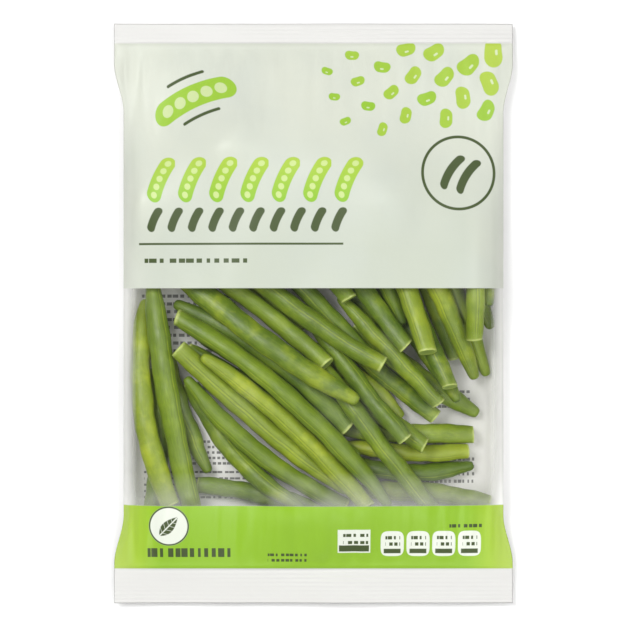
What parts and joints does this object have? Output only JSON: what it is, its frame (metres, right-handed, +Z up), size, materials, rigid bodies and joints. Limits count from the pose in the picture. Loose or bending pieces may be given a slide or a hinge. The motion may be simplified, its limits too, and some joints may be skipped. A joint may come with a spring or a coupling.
{
  "type": "green bean bundle",
  "caption": "Trimmed green beans lying loose in a flat, sealed pillow bag of clear film with pale printed bands, crimped seals at both ends and a seam along the back.",
  "frame": {"origin": "on the surface the bag lies on, under the middle of the bag's outline", "axes": "+X across the bag, +Y along it towards the narrower top seal, +Z up out of the printed front"},
  "size_m": [0.183, 0.266, 0.0345],
  "materials": {
    "bean_light": "fresh bean skin, slightly glossy",
    "bean_mid": "fresh bean skin, slightly glossy",
    "bean_yellow": "fresh bean skin, slightly glossy",
    "bean_dark": "fresh bean skin, slightly glossy",
    "film": "thin clear plastic film, glossy, printed in pale green"
  },
  "bodies": {
    "root": {"bean_01": "bean_light", "bean_02": "bean_mid", "bean_03": "bean_yellow", "bean_04": "bean_dark", "bean_05": "bean_light", "bean_06": "bean_mid", "bean_07": "bean_yellow", "bean_08": "bean_dark", "bean_09": "bean_light", "bean_10": "bean_mid", "bean_11": "bean_yellow", "bean_12": "bean_dark", "bean_13": "bean_light", "bean_14": "bean_mid", "bean_15": "bean_yellow", "bean_16": "bean_dark", "bean_17": "bean_light", "bean_18": "bean_mid", "bean_19": "bean_yellow", "bean_20": "bean_dark", "bean_21": "bean_light", "bean_22": "bean_mid", "bean_23": "bean_yellow", "bean_24": "bean_dark", "bean_25": "bean_light", "bean_26": "bean_mid", "bean_27": "bean_yellow", "bean_28": "bean_dark", "bean_29": "bean_light", "bean_30": "bean_mid", "bean_31": "bean_yellow", "bean_32": "bean_dark", "bean_33": "bean_light", "bean_34": "bean_mid", "bean_35": "bean_yellow", "bean_36": "bean_dark", "bean_37": "bean_light", "bean_38": "bean_mid", "bean_39": "bean_yellow", "bean_40": "bean_dark", "bean_41": "bean_light", "bean_42": "bean_mid", "bean_43": "bean_yellow", "bean_44": "bean_dark", "bean_45": "bean_light", "bean_46": "bean_mid", "bean_47": "bean_yellow", "bean_48": "bean_dark", "bean_49": "bean_light", "bean_50": "bean_mid", "bean_51": "bean_yellow", "bean_52": "bean_dark", "film_bag": "film"}
  },
  "joints": []
}
